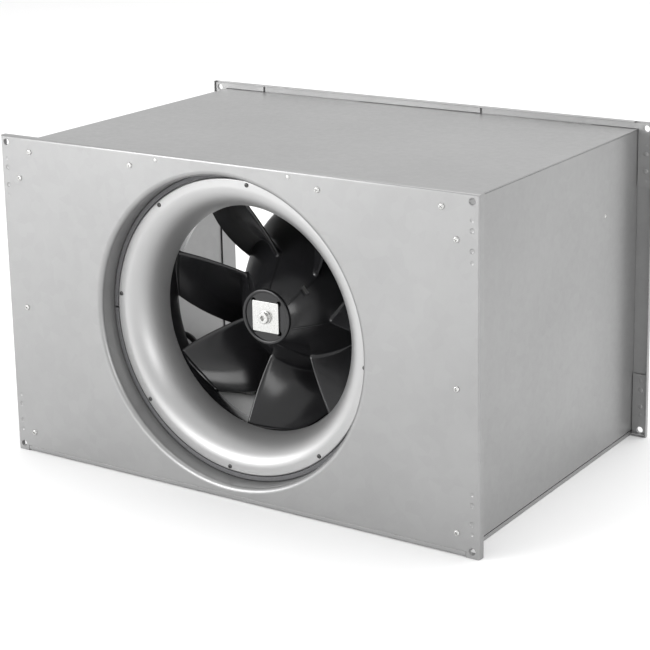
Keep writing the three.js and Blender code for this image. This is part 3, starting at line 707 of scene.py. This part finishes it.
def front_panel():
    bend = FLANGE.bend
    half, top = FLANGE.half_width - bend, FLANGE.half_height
    notch, notch_top = SILL_NOTCH.half_width, SILL_NOTCH.height - top
    left_foot = [(-half, -top), (-notch, -top), (-notch, notch_top)]
    right_foot = [(notch, notch_top), (notch, -top), (half, -top)]
    outline = [*left_foot, *right_foot, (half, top - bend), (-half, top - bend)]
    mouth = circle((0, 0), OPENING.radius + OPENING.bend, ROUND)
    bolt_spots = four_corners(BOLT_HOLE.x, BOLT_HOLE.z)
    bolts = [circle(spot, BOLT_HOLE.radius, 32) for spot in bolt_spots]
    dishes = []
    pressed = []
    for height, radius, depth in CLINCHES:
        for x, z in four_corners(CLINCH_X, height):
            pressed.append(circle((x, z), radius, CLINCH_SIDES))
            dishes.append(moved(clinch_dish(radius, depth), x=x, z=z))
    sheet = plate(outline, [mouth, *bolts, *pressed], 0, SHEET)
    shape = joined(sheet, folded_rim(bend), opening_collar(), *dishes)
    add_piece("front_sheet", shape, "galvanised", ["front_panel"])


# ------------ fasteners and clinch points
CLINCH_SIDES = 40


def clinch_dish(radius, depth):
    """A round press mark that fills a hole in the front sheet and sinks to that depth."""
    floor = [(0, depth), (0.62 * radius, depth), (0.74 * radius, 0.9 * depth)]
    rim = [(0.94 * radius, 0.08 * depth), (radius, 0), (radius, SHEET)]
    return turned([*floor, *rim, (0, SHEET)], CLINCH_SIDES)


def clinch_button(radius, height):
    """The raised side of a clinch point, towards -Y, with its seat at y = 0."""
    top = [(0, -height), (0.62 * radius, -height), (0.85 * radius, -0.8 * height), (radius, 0)]
    return turned([*top, (radius, 0.2), (0, 0.2)], CLINCH_SIDES)


def rivet(radius, height):
    """A domed rivet head towards -Y, with its seat at y = 0."""
    dome = arc((0, 0), radius, height, 270, 360, 8)[1:]
    return turned([(0, -height), *dome, (radius - 0.2, 0.3), (0, 0.3)], 40)


def cross(radius, arm):
    """The outline of a cross recess."""
    w = arm / 2
    points = []
    for x, z in ((radius, -w), (radius, w), (w, w)):
        points += [(x, z), (-z, x), (-x, -z), (z, -x)]
    return sorted(points, key=lambda point: math.atan2(point[1], point[0]))


def pan_head(radius, height, shank, length):
    """A domed screw head towards -Y with a cross recess, on a short shank. Its seat is at y = 0."""
    crown = arc((0.55 * radius, 0), 0.45 * radius, height, 270, 360, 8)
    body = turned([(0, -height), *crown, (shank, 0), (shank, length), (0, length)], 48)
    mouth = cross(0.6 * radius, 0.26 * radius)
    floor = [(0.6 * x, 0.6 * z) for x, z in mouth]
    cutter = lofted([(mouth, -height - 1), (mouth, -height), (floor, -0.2 * height)])
    return combined(body, cutter, "DIFFERENCE")


def hex_head(across_flats, height, washer):
    """A hexagon head towards -Y with its corners turned off, on a washer. Its seat is at y = 0."""
    reach = across_flats / math.sqrt(3)
    seat = -1.2
    top = seat - height
    corner, side = (0.85 * reach, top), (1.02 * reach, top + 0.12 * reach)
    cone = turned([(0, top), corner, side, (side[0], seat + 0.4), (0, seat + 0.4)], 60)
    head = combined(prism(hexagon(across_flats), top - 1, seat + 0.3), cone, "INTERSECT")
    disc = rounded([(0, seat), (washer, seat), (washer, 0), (0, 0)], 0.35)
    return combined(head, turned(disc, 60), "UNION")


def front_fasteners():
    screw = pan_head(*PAN_HEADS["front"])
    for i, (x, z) in enumerate(mirror_pairs(FRONT_SCREWS)):
        placed = moved(turned_by(screw, 37 * i), x=x, z=z)
        add_piece(f"pan_head_screw_{i + 1}", placed, "zinc_plate", [f"front_screw_{i + 1}"])
    head = rivet(RIVET_HEAD.radius, RIVET_HEAD.height)
    rivets = joined(*(moved(head, x=x, z=z) for x, z in mirror_pairs(RIVETS)))
    add_piece("front_rivets", rivets, "zinc_plate")


def corner_clinches():
    """The raised sides of the clinch points, on the corner plates behind each flange strip."""
    inlet_rear = box_mm("front_corner_top_right")[1].y
    outlet_front = box_mm("rear_corner_top_right")[0].y
    placed = []
    for height, radius, depth in CLINCHES:
        button = clinch_button(radius, 0.5 * depth)
        for x, z in four_corners(CLINCH_X, height):
            placed.append(aimed(button, (x, inlet_rear, z), (0, 1, 0)))
            placed.append(moved(button, x=x, y=outlet_front, z=z))
    add_piece("corner_clinch_points", joined(*placed), "galvanised")


def side_dots():
    """A small rivet in each side wall."""
    dot = rivet(SIDE_DOT.radius, SIDE_DOT.height)
    x, y, z = SIDE_DOT.place
    placed = [aimed(dot, (sign * x, y, z), (sign, 0, 0)) for sign in (-1, 1)]
    add_piece("side_rivets", joined(*placed), "zinc_plate")


# ------------ inlet nozzle and seal
def bell(offset, steps):
    """The quarter ellipse from the flat rim to the throat, moved inwards by the offset."""
    across = NOZZLE.bell - NOZZLE.throat - offset
    along = NOZZLE.end - NOZZLE.face - offset
    return arc((NOZZLE.bell, NOZZLE.end), across, along, 270, 180, steps)


def inlet_nozzle():
    rim, face, fold = NOZZLE.rim, NOZZLE.face, NOZZLE.fold
    back = face + NOZZLE.lip
    edge = arc((rim - fold, face + fold), fold, fold, 360, 270, 8)
    lip = arc((NOZZLE.throat + SHEET / 2, NOZZLE.end), SHEET / 2, SHEET / 2, 180, 0, 6)[1:-1]
    inside = bell(SHEET, 36)[::-1]
    turn_back = [(rim - fold, face + SHEET), (rim - SHEET, face + fold), (rim - SHEET, back)]
    outline = [(rim, back), *edge, *bell(0, 36), *lip, *inside, *turn_back]
    add_piece("nozzle", turned(outline), "spun_steel", ["inlet_nozzle"])


def nozzle_screws():
    screw = pan_head(*PAN_HEADS["nozzle"])
    count, radius, first = NOZZLE_SCREWS.count, NOZZLE_SCREWS.circle, NOZZLE_SCREWS.first
    placed = ringed(screw, count, radius, NOZZLE.face, first)
    add_piece("nozzle_screws", placed, "zinc_plate", finish="dark_zinc")


def seal_strip():
    inner, outer, front, rear = SEAL.inner, SEAL.outer, SEAL.front, SEAL.rear
    outline = rounded([(inner, front), (outer, front), (outer, rear), (inner, rear)], 0.8)
    half_gap = SEAL.gap_degrees / 2
    strip = turned(outline, ROUND, 180 + half_gap, 360 - 2 * half_gap)
    add_piece("seal_strip", strip, "seal_foam", ["opening_seal"])


# ------------ impeller
def hub_shell():
    """A hollow cone with a flat nose in a raised rim, and a web inside that sits on the motor."""
    nose, top, wall = HUB.nose, HUB.rim_top, HUB.wall
    inner, outer = HUB.rim_inner, HUB_CURVE[0][0]
    crown = arc(((inner + outer) / 2, top + 1), (outer - inner) / 2, 1, 180, 360, 10)
    outside = beside_spline(HUB_CURVE, 0, 48)
    inside = beside_spline(HUB_CURVE, -wall, 48)[::-1]
    front, rear, bore = HUB_WEB.front, HUB_WEB.rear, HUB_WEB.bore
    behind = [point for point in inside if point[1] > rear + 2]
    before = [point for point in inside if HUB.nose_rear + 1 < point[1] < front - 2]
    web = [(behind[-1][0] - 1, rear), (bore, rear), (bore, front), (before[0][0] - 1, front)]
    nose_bore = [(HUB.bore, HUB.nose_rear), (HUB.bore, nose), (inner, nose)]
    return turned([*crown, *outside, *behind, *web, *before, *nose_bore], 176)


def nose_pockets():
    """The reliefs in the nose under the four corners of the clamp plate."""
    half, relief = POCKET.half, POCKET.relief
    corners = [circle(spot, relief, 24) for spot in four_corners(half, half)]
    return joined(*(prism(corner, HUB.nose - 1, POCKET.floor) for corner in corners))


def tip_ring():
    """The short ring round the blade tips, with a rounded front edge."""
    half = HUB.wall / 2
    inside = beside_spline(RING_CURVE, 0, 24)
    outside = beside_spline(RING_CURVE, 2 * half, 24)[::-1]
    front = arc((inside[0][0] + half, inside[0][1]), half, half, 360, 180, 8)[1:-1]
    return turned([*inside, *outside, *front], 176)


def camber(first, s, v):
    """A point of a blade's middle surface: s from leading to trailing edge, v from hub to ring."""
    root = on_spline(HUB_CURVE, lerp(*BLADE_SPAN.root, s))
    tip = on_spline(RING_CURVE, lerp(*BLADE_SPAN.tip, s))
    middle = root.lerp(tip, v)
    wrap = lerp(BLADE_ANGLES.hub_wrap, BLADE_ANGLES.tip_wrap, v)
    angle = math.radians(first + BLADE_ANGLES.lean * v + wrap * s)
    return Vector((middle.x * math.cos(angle), middle.y, middle.x * math.sin(angle)))


def fillet(distance, radius):
    """How far a fillet stands out from the blade at a distance from the wall."""
    depth = min(max(radius - distance, 0), 0.97 * radius)
    return radius - math.sqrt(radius**2 - depth**2)


def rounded_nose(s, reach):
    """From 0 at the leading edge to 1 past the reach, as a quarter ellipse."""
    return math.sqrt(max(1 - (1 - min(s / reach, 1)) ** 2, 0.002))


FILLET_STATIONS = (0.06, 0.2, 0.45, 1.0)
NOSE_STATIONS = (0, 0.004, 0.012, 0.024, 0.04)


def blade_section(first, s):
    """One closed row of blade points, from root to tip on one side and back on the other."""
    span = (camber(first, s, 1) - camber(first, s, 0)).length
    near_root = [-BLADES.overlap, 0]
    near_root += [share * FILLET.root for share in FILLET_STATIONS]
    near_tip = [span - share * FILLET.tip for share in reversed(FILLET_STATIONS)]
    near_tip += [span, span + BLADES.overlap]
    between = [lerp(near_root[-1], near_tip[0], i / 7) for i in range(1, 7)]
    sides = {1: [], -1: []}
    for distance in (*near_root, *between, *near_tip):
        v = distance / span
        along_chord = camber(first, s + 1e-3, v) - camber(first, s - 1e-3, v)
        along_span = camber(first, s, v + 1e-3) - camber(first, s, v - 1e-3)
        normal = along_chord.cross(along_span).normalized()
        thinned = BLADES.thickness / 2 * (1 - BLADES.thinning * s)
        half = thinned * rounded_nose(s, BLADE_NOSE)
        flare = fillet(distance, FILLET.root) + fillet(span - distance, FILLET.tip)
        fade = FILLET.fade
        reach = half + flare * rounded_nose(s, fade) * rounded_nose(1.001 - s, fade)
        for side in sides:
            sides[side].append(camber(first, s, v) + side * reach * normal)
    return sides[1] + sides[-1][::-1]


def blade(first):
    """One blade, whose leading edge meets the hub at the first angle."""
    body = [lerp(0.06, 0.94, i / 22) for i in range(23)]
    rows = [blade_section(first, s) for s in (*NOSE_STATIONS, *body, 0.97, 1)]
    count = len(rows[0])
    vertices = [point for row in rows for point in row]
    faces = skin(len(rows), count)
    for end in (0, (len(rows) - 1) * count):
        for j in range(count // 2 - 1):
            faces.append([end + j, end + j + 1, end + count - 2 - j, end + count - 1 - j])
    return vertices, faces


def hub_ridge(first):
    """A low ridge on the hub, from the nose ring back to a blade's leading edge."""
    steps = 8
    route = []
    for i in range(steps + 1):
        share = lerp(HUB_RIDGE.first_share, BLADE_SPAN.root[0], i / steps)
        radius, y = on_spline(HUB_CURVE, share)
        angle = math.radians(first - HUB_RIDGE.sweep * (1 - i / steps))
        route.append((radius * math.cos(angle), y, radius * math.sin(angle)))
    return tube(route, HUB_RIDGE.radius, 12, 3)


def impeller():
    walls = combined(joined(hub_shell(), tip_ring()), nose_pockets(), "DIFFERENCE")
    count = BLADES.count
    angles = [BLADE_ANGLES.first + 360 / count * i for i in range(count)]
    ridged = combined(walls, joined(*(hub_ridge(angle) for angle in angles)), "UNION")
    moulding = combined(ridged, joined(*(blade(angle) for angle in angles)), "UNION")
    nodes = ["impeller", "impeller_ring"]
    add_piece("mixed_flow_impeller", moulding, "black_plastic", nodes, "rotor")


def on_flank(shape, spot):
    """A shape that points along -Y, set on the flank of the hub with its Z side round the axis."""
    slope = on_spline(HUB_CURVE, spot.share + 0.04) - on_spline(HUB_CURVE, spot.share - 0.04)
    upright = aimed(shape, (spot.radius, spot.y, 0), (slope.y, -slope.x, 0))
    return turned_by(upright, -spot.degrees)


def mould_mark():
    """A moulding's round ejector mark on the flank of the hub."""
    groove = [(4.6, 0), (4.6, 0.6), (5.6, 0.6), (5.6, 0)]
    mark = turned(rounded([(0, 0), *groove, (6.4, 0), (6.4, 3), (0, 3)], 0.15), 48)
    add_piece("ejector_mark", on_flank(mark, MOULD_MARK), "black_plastic", body="rotor")


def impeller_fixing():
    """The square clamp plate on the nose, and the socket bolt in one with its washer."""
    half, front, rear = CLAMP.half, CLAMP.front, CLAMP.rear
    sheet = pillow(rounded(rectangle(half, half), 1.2), front, rear, 0.5)
    add_piece("square_clamp_plate", sheet, "zinc_plate", ["clamp_plate"], "rotor")
    bolt, head, top, end = HUB_BOLT.radius, HUB_BOLT.head, HUB_BOLT.top, HUB_BOLT.end
    washer, seat = BOLT_WASHER.radius, BOLT_WASHER.front
    outline = [(0, top), (head, top), (head, seat), (washer, seat), (washer, front), (bolt, front)]
    solid = turned(rounded([*outline, (bolt, end), (0, end)], 0.6), 60)
    socket = prism(hexagon(HUB_BOLT.socket), top - 1, top + 3)
    drilled = combined(solid, socket, "DIFFERENCE")
    add_piece("socket_bolt", drilled, "zinc_plate", ["hub_bolt"], "rotor")


def balance_clip():
    """A folded spring clip, gripping the flank of the hub."""
    grip = prism(rounded(rectangle(*CLIP_GRIP.half), 0.7), CLIP_GRIP.front, CLIP_GRIP.rear)
    edge = rounded(rectangle(*CLIP_LIP.half), 0.4)
    lip = pillow(edge, CLIP_LIP.front, CLIP_LIP.rear, 0.3)
    lips = joined(*(moved(lip, x=side * CLIP_LIP.x) for side in (-1, 1)))
    clip = on_flank(combined(grip, lips, "UNION"), BALANCE)
    add_piece("spring_clip", clip, "zinc_plate", ["balance_clip"], "rotor", "dark_zinc")


# ------------ motor and its support
def motor_rotor():
    outer, inner, bore = ROTOR_CAN.outer, ROTOR_CAN.inner, ROTOR_CAN.bore
    front, floor, rear = ROTOR_CAN.front, ROTOR_CAN.floor, ROTOR_CAN.rear
    bottom, slope = outer - ROTOR_GROOVE.depth, ROTOR_GROOVE.slope
    end = rear - ROTOR_GROOVE.ahead
    start = end - ROTOR_GROOVE.width
    groove = [(outer, start), (bottom, start + slope), (bottom, end - slope), (outer, end)]
    outside = [(bore, front), (outer, front), *groove, (outer, rear)]
    cup = [*outside, (inner, rear), (inner, floor), (bore, floor)]
    can = turned(rounded(cup, 1.6), 144)
    add_piece("external_rotor", can, "rotor_steel", ["rotor_can"], "rotor")
    radius, start, end = SHAFT.radius, SHAFT.front, SHAFT.rear
    shaft = rounded([(0, start), (radius, start), (radius, end), (0, end)], 0.8, 1)
    add_piece("rotor_shaft", turned(shaft, 64), "bearing_steel", ["motor_shaft"], "rotor")


def bearings():
    """Two ball bearings, each with a sunk shield between its rings on both faces."""
    inner, outer = BEARING.inner_land, BEARING.outer_land
    for end in ("front", "rear"):
        low, high = (corner.y for corner in box_mm(f"{end}_bearing"))
        faces = []
        for y, inwards in ((low, 1), (high, -1)):
            shield = y + BEARING.recess * inwards
            sunk = [(inner, y), (inner, shield), (outer, shield), (outer, y)]
            faces.append([(BEARING.bore, y), *sunk, (BEARING.outer, y)])
        outline = rounded([*faces[0], *faces[1][::-1]], 0.25)
        add_piece(f"ball_bearing_{end}", turned(outline, 64), "bearing_steel", [f"{end}_bearing"])


def stator():
    """A laminated core between two crowns of twelve coils."""
    low, high = (corner.y for corner in box_mm("stator_pack"))
    crown, gap, depth = STATOR.crown, STATOR.gap, COIL.depth
    outline = [(BEARING_TUBE.radius + 1, low + crown), (STATOR.radius, low + crown)]
    outline += [(radius, high - crown) for radius, _ in reversed(outline)]
    core = turned(rounded(outline, 0.3), 96)
    coil = pillow(rounded(rectangle(*COIL.half), COIL.corner), 0, depth, COIL.edge)
    crowns = (low + gap, high - gap - depth)
    front, rear = (ringed(coil, STATOR.coils, STATOR.circle, y) for y in crowns)
    add_piece("stator_windings", joined(core, front, rear), "stator_copper", ["stator_pack"])


def motor_housing():
    """One casting: the bearing tube, the mounting flange and the finned electronics housing."""
    radius, bore, end = BEARING_TUBE.radius, BEARING_TUBE.bore, BEARING_TUBE.end
    front, flange, body, rear = HOUSING.front, HOUSING.flange, HOUSING.body, HOUSING.rear
    mouth = [(bore, BEARING_TUBE.front), (radius, BEARING_TUBE.front)]
    inside = [(0, end), (bore, end), *mouth, (radius, front)]
    step, slope = front + HOUSING.flange_depth, HOUSING.slope
    outside = [(flange, front), (flange, step), (body, step), (body, rear - slope)]
    recess, floor = COVER.radius + COVER.gap, rear - COVER.seat
    seat = [(body - slope, rear), (recess, rear), (recess, floor), (0, floor)]
    barrel = turned(rounded([*inside, *outside, *seat], 0.8, 2), 144)
    half = (FINS.radius - body + FINS.overlap) / 2
    section = rounded(rectangle(half, FINS.width / 2), 0.9)
    fin = pillow(section, FINS.front, FINS.rear, 0.8)
    fins = ringed(fin, FINS.count, FINS.radius - half, 0, 180 / FINS.count)
    casting = combined(barrel, fins, "UNION")
    add_piece("finned_housing", casting, "cast_aluminium", ["motor_housing"])


def housing_cover():
    """The dished cover of the electronics, in its seat in the rear of the housing."""
    rear, height, radius = HOUSING.rear - COVER.seat, COVER.height, COVER.radius
    rim = radius - COVER.rim
    dished = [(rim, height), (rim - 1, height - 1), (0, height - 1)]
    lid = rounded([(0, 0), (radius, 0), (radius, height), *dished], 0.6)
    add_piece("housing_cover", moved(turned(lid, 96), y=rear), "cast_aluminium")
    screw = aimed(pan_head(*PAN_HEADS["cover"]), (0, 0, 0), (0, 1, 0))
    screws = ringed(screw, COVER.screws, COVER.circle, rear + height, 45)
    add_piece("cover_screws", screws, "zinc_plate")


def plate_screws():
    screw = aimed(hex_head(*HEX_HEADS["plate"]), (0, 0, 0), (0, 1, 0))
    placed = ringed(screw, PLATE_SCREWS.count, PLATE_SCREWS.circle, PLATE_SCREWS.y, 30)
    add_piece("motor_plate_screws", placed, "zinc_plate")


def dampers():
    """Four waisted rubber blocks between steel discs, each with a nut at both ends."""
    radius, length = DAMPER.radius, DAMPER.length
    front, disc = DAMPER.front, DAMPER.disc
    waist = arc((radius - 0.4, length / 2), DAMPER.waist, length / 2 - disc, 270, 90, 16)
    rubber = turned([(0, disc), *waist, (0, length - disc)], 64)
    washer = turned(rounded([(0, 0), (radius, 0), (radius, disc), (0, disc)], 0.3), 64)
    washers = joined(washer, moved(washer, y=length - disc))
    nut = hex_head(*HEX_HEADS["damper"])
    nuts = []
    metal = []
    for level, up in (("lower", -1), ("upper", 1)):
        for side, sign in (("left", -1), ("right", 1)):
            x, z = sign * DAMPER.x, up * DAMPER.z
            node = f"damper_{level}_{side}"
            add_piece(f"rubber_{node}", moved(rubber, x, front, z), "rubber", [node])
            metal.append(moved(washers, x, front, z))
            nuts.append(moved(nut, x, DAMPER_NUTS.plate_front, z))
            nuts.append(aimed(nut, (x, DAMPER_NUTS.web_rear, z), (0, 1, 0)))
    add_piece("damper_discs", joined(*metal), "zinc_plate")
    add_piece("damper_nuts", joined(*nuts), "zinc_plate")


# ------------ cable, glands and terminal box
def ribbed(radius, ribs, depth, points=8):
    """A round outline with shallow ribs, for a cap that is turned by hand."""
    outline = []
    for i in range(ribs * points):
        angle = 2 * math.pi * i / (ribs * points)
        here = radius - depth * (0.5 + 0.5 * math.cos(ribs * angle)) ** 2
        outline.append((here * math.cos(angle), here * math.sin(angle)))
    return outline


def cable_gland():
    """A gland that points along -Y: a hexagon on the wall at y = 0, then a ribbed domed cap."""
    cap = [(ribbed(radius, GLAND_RIBS, depth), y) for y, radius, depth in GLAND_CAP]
    return combined(hex_head(*HEX_HEADS["gland"]), lofted(cap), "UNION")


def glands():
    """The motor's gland on its housing, and the supply's gland under the box, with a plug in it."""
    gland = cable_gland()
    out = Vector((-1, 0, -1)).normalized()
    place = out * MOTOR_GLAND.out + Vector((0, MOTOR_GLAND.y, 0))
    add_piece("motor_cable_gland", aimed(gland, place, out), "black_fitting", ["motor_gland"])
    front, rear, radius = GLAND_PLUG.front, GLAND_PLUG.rear, GLAND_PLUG.radius
    side = [(GLAND_PLUG.neck, front), (radius, GLAND_PLUG.shoulder), (radius, rear)]
    plug = turned([(0, front), *side, (0, rear)], 40)
    blanked = aimed(combined(gland, plug, "UNION"), SUPPLY_GLAND, (0, 0, -1))
    add_piece("supply_cable_gland", blanked, "grey_plastic", ["supply_gland"])


def grommet():
    bore, flange, neck = GROMMET.bore, GROMMET.flange, GROMMET.neck
    lip, depth = GROMMET.lip, GROMMET.depth
    outline = [(bore, 0), (flange, 0), (flange, lip), (neck, lip), (neck, depth), (bore, depth)]
    ringlet = aimed(turned(rounded(outline, 0.8), 64), GROMMET_PLACE, (1, 0, 0))
    add_piece("rubber_grommet", ringlet, "rubber", ["wall_grommet"])


def motor_cable():
    route = [(x, y, z - AXIS_HEIGHT) for x, y, z in CABLE_ROUTE]
    add_piece("motor_lead", tube(route, CABLE_RADIUS), "cable_sheath", ["motor_cable"])


def saddle():
    """A saddle over a cable along Y, its feet on z = 0, with a screw in each foot."""
    outer, inner, foot = SADDLE.outer, SADDLE.inner, SADDLE.foot
    sheet, half, centre = SADDLE.sheet, SADDLE.half, (0, SADDLE.rise)
    over = arc(centre, outer, outer, 0, 180, 24)
    under = arc(centre, inner, inner, 180, 0, 24)
    left = [(-outer, sheet), (-foot, sheet), (-foot, 0), (-inner, 0)]
    right = [(-x, z) for x, z in reversed(left)]
    strap = prism([*over, *left, *under, *right], -half, half)
    screw = pan_head(*PAN_HEADS["saddle"])
    heads = [aimed(screw, (side * SADDLE.screw, 0, sheet), (0, 0, 1)) for side in (-1, 1)]
    return joined(strap, *heads)


def cable_clips():
    clip = saddle()
    upright = transformed(clip, Matrix.Rotation(math.radians(-90), 4, "X"))
    rail = moved(turned_by(upright, RAIL_CLIP.degrees, "Z"), *RAIL_CLIP.place)
    base = moved(turned_by(clip, BASE_CLIP.degrees, "Z"), *BASE_CLIP.place)
    add_piece("rail_saddle", rail, "zinc_plate", ["cable_clip_rail"])
    add_piece("base_saddle", base, "zinc_plate", ["cable_clip_base"])


def terminal_lid():
    """The lid of the terminal box, with a screw in a round well at each corner."""
    place, outward = LID.place, (-1, 0, 0)
    outline = rounded(rectangle(*LID.half), LID.corner, 8)
    cover = pillow(outline, 0, LID.depth, LID.edge)
    floor = LID_WELLS.depth
    spots = four_corners(*(half - LID_WELLS.inset for half in LID.half))
    wells = joined(*(prism(circle(spot, LID_WELLS.radius, 32), -1, floor) for spot in spots))
    lid = aimed(combined(cover, wells, "DIFFERENCE"), place, outward)
    add_piece("junction_lid", lid, "grey_plastic", ["terminal_lid"])
    screw = pan_head(*PAN_HEADS["lid"])
    heads = joined(*(moved(screw, x=x, y=floor, z=z) for x, z in spots))
    add_piece("lid_screws", aimed(heads, place, outward), "zinc_plate")


add_camera()
add_studio()
add_floor()
finish_frame_nodes()
for make_piece in (
    front_panel, front_fasteners, corner_clinches, side_dots, inlet_nozzle, nozzle_screws,
    seal_strip, impeller, mould_mark, impeller_fixing, balance_clip, motor_rotor, bearings,
    stator, motor_housing, housing_cover, plate_screws, dampers, glands, grommet, motor_cable,
    cable_clips, terminal_lid,
):
    make_piece()
